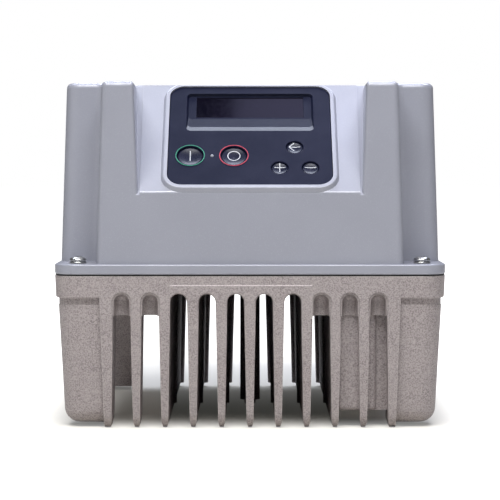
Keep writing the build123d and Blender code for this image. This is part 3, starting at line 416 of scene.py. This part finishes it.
def circuit_board():
    """Green solder mask over copper tracks laid out on a grid."""
    material, s, surface = new_material("circuit board", Coat_Weight=0.35, Coat_Roughness=0.2)
    grain = s.group(grain_group(), Size=0.6 * MM, Mottle_Size=25 * MM)
    tracks = s.node("ShaderNodeTexBrick")
    s.link(s.place(), tracks.inputs["Vector"])
    layout = {"Scale": 60.0, "Mortar Size": 0.06, "Brick Width": 0.9, "Row Height": 0.18}
    for name, value in layout.items():
        tracks.inputs[name].default_value = value
    mask = s.mix(grain["Mottle"], (0.008, 0.10, 0.035), (0.015, 0.15, 0.055))
    shade = s.mix(s.maths("MULTIPLY", tracks.outputs["Fac"], 0.6), mask, (0.03, 0.24, 0.10))
    s.link(shade, surface["Base Color"])
    s.link(s.ramp(grain["Height"], 0.3, 0.7, 0.30, 0.42), surface["Roughness"])
    s.link(s.bump(tracks.outputs["Fac"], 0.3, 0.04 * MM), surface["Normal"])
    return material


def metal(name, colour, darker, rough=(0.25, 0.42)):
    """Turned or drawn metal, slightly tarnished."""
    material, s, surface = new_material(name, Metallic=1.0)
    grain = s.group(grain_group(), Size=0.5 * MM, Mottle_Size=6 * MM)
    s.link(s.mix(s.ramp(grain["Mottle"], 0.3, 0.75), colour, darker), surface["Base Color"])
    s.link(s.ramp(grain["Height"], 0.3, 0.7, rough[0], rough[1]), surface["Roughness"])
    s.link(s.bump(grain["Height"], 0.1, 0.03 * MM), surface["Normal"])
    return material


def wear_finish(material, *names):
    for name in names:
        for holder in nodes[name].material_slots:
            holder.material = material


# ---------------------------------------------------------------- mesh helpers
def new_piece(name, mesh, material, body):
    """Object for a finished mesh, which rides on a body."""
    mesh.materials.clear()
    mesh.materials.append(material)
    piece = bpy.data.objects.new(name, mesh)
    bpy.context.scene.collection.objects.link(piece)
    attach(piece, body)
    return piece


def bar_outline(start, end, width, steps=14):
    """Rows of (left, right) points along a straight bar."""
    start = Vector(start)
    end = Vector(end)
    side = (end - start).normalized().orthogonal() * width / 2
    rows = [start.lerp(end, i / steps) for i in range(steps + 1)]
    return [(row + side, row - side) for row in rows], False


def ring_outline(radius, width, steps=64):
    turns = [2 * pi * i / steps for i in range(steps)]
    inner = radius - width / 2
    outer = radius + width / 2
    return [(Vector((cos(a), sin(a))) * inner, Vector((cos(a), sin(a))) * outer) for a in turns], True


def lay_print(key, outlines, rise, height):
    """Thin print laid on a key's dished face, from flat outlines about the key's middle."""
    across, up, out = key_face(key)
    up += rise
    shape = bmesh.new()

    def laid(point, lift):
        above = keypad_point(across + point.x, up + point.y, out + 5 * MM)
        hit, place, _, _ = nodes[key].ray_cast(above, -OUT)
        if not hit:
            raise RuntimeError(f"the symbol on {key} runs off its face")
        return place + OUT * lift

    for rows, closed in outlines:
        rings = []
        for left, right in rows:
            middle = (left + right) / 2
            top = [laid(point, height) for point in (left, middle, right)]
            under = [laid(point, -height) for point in (right, left)]
            rings.append([shape.verts.new(point) for point in top + under])
        pairs = list(zip(rings, rings[1:] + rings[:1])) if closed else list(zip(rings, rings[1:]))
        for one, two in pairs:
            for i in range(len(one)):
                j = (i + 1) % len(one)
                shape.faces.new((one[i], one[j], two[j], two[i]))
        if not closed:
            shape.faces.new(rings[0])
            shape.faces.new(reversed(rings[-1]))
    bmesh.ops.recalc_face_normals(shape, faces=shape.faces)
    mesh = bpy.data.meshes.new(f"{key}_symbol")
    shape.to_mesh(mesh)
    shape.free()
    return mesh


# ---------------------------------------------------------------- geometry node helpers
class Tree(Shader):
    """A geometry node tree being wired up, with named inputs for its sizes."""

    def __init__(self, name, sizes):
        tree = bpy.data.node_groups.new(name, "GeometryNodeTree")
        tree.interface.new_socket(name="Geometry", in_out="INPUT", socket_type="NodeSocketGeometry")
        for size in sizes:
            tree.interface.new_socket(name=size, in_out="INPUT", socket_type="NodeSocketFloat")
        tree.interface.new_socket(name="Geometry", in_out="OUTPUT", socket_type="NodeSocketGeometry")
        super().__init__(tree)
        self.given = self.node("NodeGroupInput").outputs
        self.result = self.node("NodeGroupOutput").inputs["Geometry"]

    def vector(self, x=0.0, y=0.0, z=0.0):
        made = self.node("ShaderNodeCombineXYZ")
        for socket, value in zip(made.inputs, (x, y, z)):
            self.feed(socket, value)
        return made.outputs[0]

    def shape(self, kind, output, settings=None, **inputs):
        made = self.node(kind, **(settings or {}))
        for name, value in inputs.items():
            self.feed(made.inputs[name.replace("_", " ")], value)
        return made.outputs[output]

    def moved(self, geometry, offset):
        return self.shape("GeometryNodeTransform", "Geometry", Geometry=geometry, Translation=offset)

    def joined(self, *pieces):
        made = self.node("GeometryNodeJoinGeometry")
        for piece in pieces:
            self.link(piece, made.inputs["Geometry"])
        return made.outputs["Geometry"]

    def finish(self, geometry, material):
        solid = self.shape("GeometryNodeRealizeInstances", "Geometry", Geometry=geometry)
        made = self.node("GeometryNodeSetMaterial")
        self.link(solid, made.inputs["Geometry"])
        made.inputs["Material"].default_value = material
        self.link(made.outputs["Geometry"], self.result)
        return self.tree


def run_tree(name, tree, points, values):
    """Runs a tree on a mesh of points and returns the result as a plain mesh."""
    seed = bpy.data.meshes.new(f"{name}_points")
    seed.from_pydata([tuple(point) for point in points], [], [])
    holder = bpy.data.objects.new(f"{name}_holder", seed)
    bpy.context.scene.collection.objects.link(holder)
    modifier = holder.modifiers.new("tree", "NODES")
    modifier.node_group = tree
    for item in tree.interface.items_tree:
        if item.in_out == "INPUT" and item.name in values:
            modifier[item.identifier] = values[item.name]
    evaluated = holder.evaluated_get(bpy.context.evaluated_depsgraph_get())
    mesh = bpy.data.meshes.new_from_object(evaluated)
    mesh.name = name
    bpy.data.objects.remove(holder)
    bpy.data.meshes.remove(seed)
    if not mesh.polygons:
        raise RuntimeError(f"{name} came out empty")
    return mesh


def screw_tree(material):
    """Pan-head screws with a cross recess, each on its washer, at the mesh's points."""
    t = Tree(
        "cover screws",
        (
            "Head Radius",
            "Head Height",
            "Cross Length",
            "Cross Width",
            "Shank Radius",
            "Shank Length",
            "Washer Radius",
            "Washer Thickness",
        ),
    )
    g = t.given
    # the head is a ball flattened to the head's height, with everything under its seat pressed flat
    edge_share = 0.34  # of the head's height is left under its dome
    edge = t.maths("MULTIPLY", g["Head Height"], edge_share)
    ball = t.shape("GeometryNodeMeshUVSphere", "Mesh", Segments=64, Rings=40, Radius=1.0)
    point = t.node("ShaderNodeSeparateXYZ")
    t.link(t.node("GeometryNodeInputPosition").outputs[0], point.inputs[0])
    dome = t.maths("MULTIPLY", point.outputs["Z"], t.maths("SUBTRACT", g["Head Height"], edge))
    pressed = t.vector(
        t.maths("MULTIPLY", point.outputs["X"], g["Head Radius"]),
        t.maths("MULTIPLY", point.outputs["Y"], g["Head Radius"]),
        t.maths("MAXIMUM", t.maths("ADD", dome, edge), 0.0),
    )
    head = t.shape("GeometryNodeSetPosition", "Geometry", Geometry=ball, Position=pressed)
    depth = g["Head Height"]
    along_x = t.vector(g["Cross Length"], g["Cross Width"], depth)
    along_y = t.vector(g["Cross Width"], g["Cross Length"], depth)
    slots = [t.shape("GeometryNodeMeshCube", "Mesh", Size=size) for size in (along_x, along_y)]
    slot_lift = 1.05  # of a slot block's own height, so that it cuts a little over half the head
    above = t.vector(z=t.maths("MULTIPLY", depth, slot_lift))
    cut = t.node("GeometryNodeMeshBoolean", operation="DIFFERENCE", solver="EXACT")
    t.link(head, cut.inputs["Mesh 1"])
    for slot in slots:
        t.link(t.moved(slot, above), cut.inputs["Mesh 2"])
    screw = t.moved(cut.outputs["Mesh"], t.vector(z=g["Washer Thickness"]))
    rounding = t.maths("MULTIPLY", g["Washer Thickness"], 0.5)
    middle_radius = t.maths("SUBTRACT", g["Washer Radius"], rounding)
    washer_path = t.shape("GeometryNodeCurvePrimitiveCircle", "Curve", Resolution=64, Radius=middle_radius)
    washer_rim = t.shape("GeometryNodeCurvePrimitiveCircle", "Curve", Resolution=16, Radius=rounding)
    rim = t.shape("GeometryNodeCurveToMesh", "Mesh", Curve=washer_path, Profile_Curve=washer_rim)
    rim = t.moved(rim, t.vector(z=rounding))
    disc = t.shape(
        "GeometryNodeMeshCylinder", "Mesh", Vertices=64, Radius=middle_radius, Depth=g["Washer Thickness"]
    )
    disc = t.moved(disc, t.vector(z=t.maths("MULTIPLY", g["Washer Thickness"], 0.5)))
    shank = t.shape(
        "GeometryNodeMeshCylinder", "Mesh", Vertices=32, Radius=g["Shank Radius"], Depth=g["Shank Length"]
    )
    shank = t.moved(shank, t.vector(z=t.maths("MULTIPLY", g["Shank Length"], -0.5)))
    one = t.joined(screw, shank, rim, disc)
    scatter = t.node("GeometryNodeInstanceOnPoints")
    t.link(g["Geometry"], scatter.inputs["Points"])
    t.link(one, scatter.inputs["Instance"])
    return t.finish(scatter.outputs["Instances"], material)


# ---------------------------------------------------------------- operators
class DRIVE_OT_castings(bpy.types.Operator):
    """Finish the finned base and the painted cover."""

    bl_idname = "drive.castings"
    bl_label = "Base and cover"

    def execute(self, context):
        wear_finish(cast_alloy(), "heatsink_base")
        wear_finish(cover_paint(), "cover_shell")
        rubber = moulded("black rubber", (0.010, 0.010, 0.011), rough=(0.55, 0.75), bump=0.3, edge_gain=0.1)
        wear_finish(rubber, "cover_gasket", "keypad_seal", "entry_seals")
        return {"FINISHED"}


class DRIVE_OT_screws(bpy.types.Operator):
    """Build the cover's pan-head screws and their washers."""

    bl_idname = "drive.screws"
    bl_label = "Cover screws"

    def execute(self, context):
        given = context.scene.drive_screws
        steel = plated_steel()
        low, high = (Vector(corner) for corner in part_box("cover_washers"))
        seat = low.z
        reach_x = high.x - given.washer_radius
        reach_y = high.y - given.washer_radius
        points = [(sx * reach_x, sy * reach_y, seat) for sx in (-1, 1) for sy in (-1, 1)]
        values = {
            "Head Radius": given.head_radius,
            "Head Height": given.head_height,
            "Cross Length": given.cross_length,
            "Cross Width": given.cross_width,
            "Shank Radius": given.shank_radius,
            "Shank Length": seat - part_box("cover_screws")[0][2],
            "Washer Radius": given.washer_radius,
            "Washer Thickness": given.washer_thickness,
        }
        mesh = run_tree("pan_head_screws", screw_tree(steel), points, values)
        piece = new_piece("pan_head_screws", mesh, steel, FIXED_BODY)
        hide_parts("cover_screws", "cover_washers")
        wear_finish(steel, "keypad_screws", "board_screws", "module_screws")
        wear_finish(steel, "terminal_screws", "earth_screw", "earth_washer")
        return {"FINISHED"}


class DRIVE_OT_keypad(bpy.types.Operator):
    """Finish the keypad's faceplate, window, rings and keys."""

    bl_idname = "drive.keypad"
    bl_label = "Keypad"

    def execute(self, context):
        given = settings()
        navy = moulded(
            "navy faceplate",
            given.faceplate,
            size=0.35 * MM,
            rough=(0.27, 0.36),
            bump=0.12,
            Specular_IOR_Level=0.18,
        )
        wear_finish(navy, "keypad_faceplate")
        keys = moulded(
            "key plastic", given.faceplate, rough=(0.24, 0.34), bump=0.08, Specular_IOR_Level=0.22
        )
        wear_finish(keys, *KEYS)
        green = moulded("green print", given.start_ring, rough=(0.35, 0.5), bump=0.1)
        wear_finish(green, "start_key_ring")
        red = moulded("red print", given.stop_ring, rough=(0.35, 0.5), bump=0.1)
        wear_finish(red, "stop_key_ring")
        wear_finish(display_glass(), "display_window")
        wear_finish(clear_plastic(), "status_light_pipe")
        wear_finish(moulded("dark plastic", (0.02, 0.02, 0.03)), "lcd_module")
        return {"FINISHED"}


class DRIVE_OT_symbols(bpy.types.Operator):
    """Print the generic symbols on the keys."""

    bl_idname = "drive.symbols"
    bl_label = "Key symbols"

    def execute(self, context):
        given = context.scene.drive_symbols
        half = given.arm / 2
        head = half * 0.9
        tip = (-half, 0)
        outlines = {
            "start_button": [bar_outline((0, -given.bar / 2), (0, given.bar / 2), given.line)],
            "stop_button": [ring_outline(given.ring, given.line)],
            "back_button": [
                bar_outline(tip, (half, 0), given.line),
                bar_outline(tip, (-half + head, head), given.line),
                bar_outline(tip, (-half + head, -head), given.line),
            ],
            "plus_button": [
                bar_outline((-half, 0), (half, 0), given.line),
                bar_outline((0, -half), (0, half), given.line),
            ],
            "minus_button": [bar_outline((-half, 0), (half, 0), given.line)],
        }
        white = moulded("white print", settings().symbol, rough=(0.4, 0.55), bump=0.08)
        for key, outline in outlines.items():
            mesh = lay_print(key, outline, given.rise, given.print_height)
            new_piece(f"{key}_symbol", mesh, white, KEY_BODIES[key])
        return {"FINISHED"}


class DRIVE_OT_electronics(bpy.types.Operator):
    """Finish the boards and the parts on them."""

    bl_idname = "drive.electronics"
    bl_label = "Electronics"

    def execute(self, context):
        black = moulded("black plastic", (0.018, 0.018, 0.019))
        wear_finish(black, "key_switches", "power_module", "capacitor_clip", "choke_base", "relays")
        wear_finish(black, "current_sensors", "processor", "entry_plugs")
        wear_finish(circuit_board(), "keypad_board", "power_board", "control_board")
        grey = moulded("grey cable", (0.30, 0.30, 0.31), rough=(0.5, 0.65))
        wear_finish(grey, "keypad_ribbon", "thermal_pad")
        brass = metal("turned brass", (0.70, 0.52, 0.24), (0.52, 0.38, 0.18))
        wear_finish(brass, "power_board_standoffs", "control_board_standoffs")
        copper = metal("enamelled copper", (0.62, 0.25, 0.11), (0.45, 0.17, 0.07))
        wear_finish(copper, "choke_windings")
        wear_finish(moulded("ferrite", (0.05, 0.05, 0.055), rough=(0.5, 0.7)), "choke_core")
        sleeve = moulded("capacitor sleeve", (0.012, 0.012, 0.03), rough=(0.2, 0.34))
        wear_finish(sleeve, "dc_link_capacitors")
        yellow = moulded("filter yellow", (0.66, 0.40, 0.03), rough=(0.3, 0.45))
        wear_finish(yellow, "filter_capacitors")
        green = moulded("terminal green", (0.02, 0.20, 0.08))
        wear_finish(green, "mains_terminals", "motor_terminals", "control_terminals")
        return {"FINISHED"}


class DRIVE_OT_stage(bpy.types.Operator):
    """Set the floor, the lights and the camera."""

    bl_idname = "drive.stage"
    bl_label = "Stage"

    def execute(self, context):
        given = context.scene.drive_stage
        scene = context.scene
        scene.view_settings.view_transform = "Standard"
        self.floor(given)
        self.room(given.surroundings)
        middle = Vector((0, 0, cad_high.z / 2))
        self.lamp("main", (-0.1, -0.78, 1.32), middle, given.main, 1.3, 0.5)
        back = self.lamp("back", (0.0, 0.60, 1.36), middle, given.back, 1.5, 0.42)
        back.data.color = (0.80, 0.86, 1.0)
        self.lamp("left side", (-1.2, -0.7, 0.55), middle, given.side, 0.8, 0.9)
        self.lamp("right side", (1.2, -0.7, 0.55), middle, given.fill, 0.8, 0.9)
        below_panel = Vector((0.40, 0.0, 0.0))
        ceiling = self.lamp("ceiling", (0.40, 0.0, 1.25), below_panel, given.ceiling, 0.84, 0.7)
        ceiling.data.color = (0.62, 0.62, 1.0)
        camera = bpy.data.cameras.new("camera")
        camera.sensor_width = 36
        camera.lens = given.lens
        holder = bpy.data.objects.new("camera", camera)
        holder.location = (0, cad_low.y - given.distance, given.height)
        holder.rotation_euler = (pi / 2 - given.pitch, 0, 0)
        scene.collection.objects.link(holder)
        scene.camera = holder
        return {"FINISHED"}

    def floor(self, given):
        """Pale floor that glows to the camera, with a painted shadow: it glows less near and under the
        object.
        """
        shape = bmesh.new()
        bmesh.ops.create_grid(shape, x_segments=8, y_segments=8, size=8)
        mesh = bpy.data.meshes.new("floor")
        shape.to_mesh(mesh)
        shape.free()
        material, s, surface = new_material("floor", Roughness=0.9, Specular_IOR_Level=0.0)
        tone = s.ramp(s.noise(s.place(), 1.2), 0.3, 0.7)
        s.link(s.mix(tone, (0.52, 0.50, 0.45), (0.56, 0.54, 0.49)), surface["Base Color"])
        point = s.node("ShaderNodeSeparateXYZ")
        s.link(s.place(), point.inputs[0])
        beside = s.maths("SUBTRACT", s.maths("ABSOLUTE", point.outputs["X"]), cad_high.x)
        behind = s.maths("SUBTRACT", point.outputs["Y"], cad_high.y)
        ahead = s.maths("SUBTRACT", cad_low.y, point.outputs["Y"])
        # painted shadow: each runs from the dark of the painted shadow to lit, between two distances out from
        # that side of the object
        outside_painted_shadow_beside = s.ramp(beside, -25 * MM, 0.9 * given.painted_shadow_reach)
        outside_painted_shadow_ahead = s.ramp(ahead, -50 * MM, 1.1 * given.painted_shadow_reach)
        outside_painted_shadow_behind = s.ramp(behind, -150 * MM, 12.0 * given.painted_shadow_reach)
        outside_painted_shadow = s.maths("MAXIMUM", outside_painted_shadow_beside, s.maths("MAXIMUM", outside_painted_shadow_ahead, outside_painted_shadow_behind))
        # the glow's colour darkens to a painted shadow near and under the object
        s.link(s.mix(outside_painted_shadow, (0.035, 0.035, 0.032), (1.0, 1.0, 1.0)), surface["Emission Color"])
        seen = s.node("ShaderNodeLightPath").outputs["Is Camera Ray"]
        s.link(s.ramp(seen, 0.0, 1.0, given.glow_on_object, given.glow), surface["Emission Strength"])
        mesh.materials.append(material)
        floor = bpy.data.objects.new("floor", mesh)
        bpy.context.scene.collection.objects.link(floor)
        floor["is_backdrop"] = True

    def room(self, strength):
        """White to the camera, softer to the object and dim overhead."""
        world = bpy.data.worlds.new("room")
        world.use_nodes = True
        s = Shader(world.node_tree)
        background = world.node_tree.nodes["Background"]
        seen = s.node("ShaderNodeLightPath").outputs["Is Camera Ray"]
        point = s.node("ShaderNodeSeparateXYZ")
        s.link(s.node("ShaderNodeTexCoord").outputs["Generated"], point.inputs[0])
        soft = s.ramp(point.outputs["Z"], 0.25, 0.9, strength, 0.12 * strength)
        level = s.node("ShaderNodeMix", data_type="FLOAT")
        s.link(seen, level.inputs["Factor"])
        s.link(soft, level.inputs["A"])
        level.inputs["B"].default_value = 1.0
        background.inputs["Color"].default_value = (1, 1, 1, 1)
        s.link(level.outputs["Result"], background.inputs["Strength"])
        bpy.context.scene.world = world

    def lamp(self, name, place, target, power, width, height):
        light = bpy.data.lights.new(name, "AREA")
        light.shape = "RECTANGLE"
        light.size = width
        light.size_y = height
        light.energy = power
        holder = bpy.data.objects.new(name, light)
        holder.location = place
        holder.rotation_euler = (Vector(place) - target).to_track_quat("Z", "Y").to_euler()
        bpy.context.scene.collection.objects.link(holder)
        return holder


OPERATORS = (
    DRIVE_OT_castings,
    DRIVE_OT_screws,
    DRIVE_OT_keypad,
    DRIVE_OT_symbols,
    DRIVE_OT_electronics,
    DRIVE_OT_stage,
)
SETTINGS = {
    "drive_finish": FinishSettings,
    "drive_symbols": SymbolSettings,
    "drive_screws": ScrewSettings,
    "drive_stage": StageSettings,
}


class DRIVE_PT_panel(bpy.types.Panel):
    """Lists the drive's steps."""

    bl_label = "Drive"
    bl_space_type = "VIEW_3D"
    bl_region_type = "UI"
    bl_category = "Drive"

    def draw(self, context):
        for operator in OPERATORS:
            self.layout.operator(operator.bl_idname)
        for name, group in SETTINGS.items():
            box = self.layout.box()
            for setting in group.__annotations__:
                box.prop(getattr(context.scene, name), setting)


def register():
    for group in (*SETTINGS.values(), *OPERATORS, DRIVE_PT_panel):
        bpy.utils.register_class(group)
    for name, group in SETTINGS.items():
        setattr(bpy.types.Scene, name, PointerProperty(type=group))


def unregister():
    for name in SETTINGS:
        delattr(bpy.types.Scene, name)
    for group in (DRIVE_PT_panel, *reversed(OPERATORS), *SETTINGS.values()):
        bpy.utils.unregister_class(group)


def run_operator(operator):
    area, name = operator.bl_idname.split(".")
    if getattr(getattr(bpy.ops, area), name)() != {"FINISHED"}:
        raise RuntimeError(f"{operator.bl_label} did not finish")


def main():
    register()
    for operator in OPERATORS:
        run_operator(operator)
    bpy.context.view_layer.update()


if __name__ == "__main__":
    main()
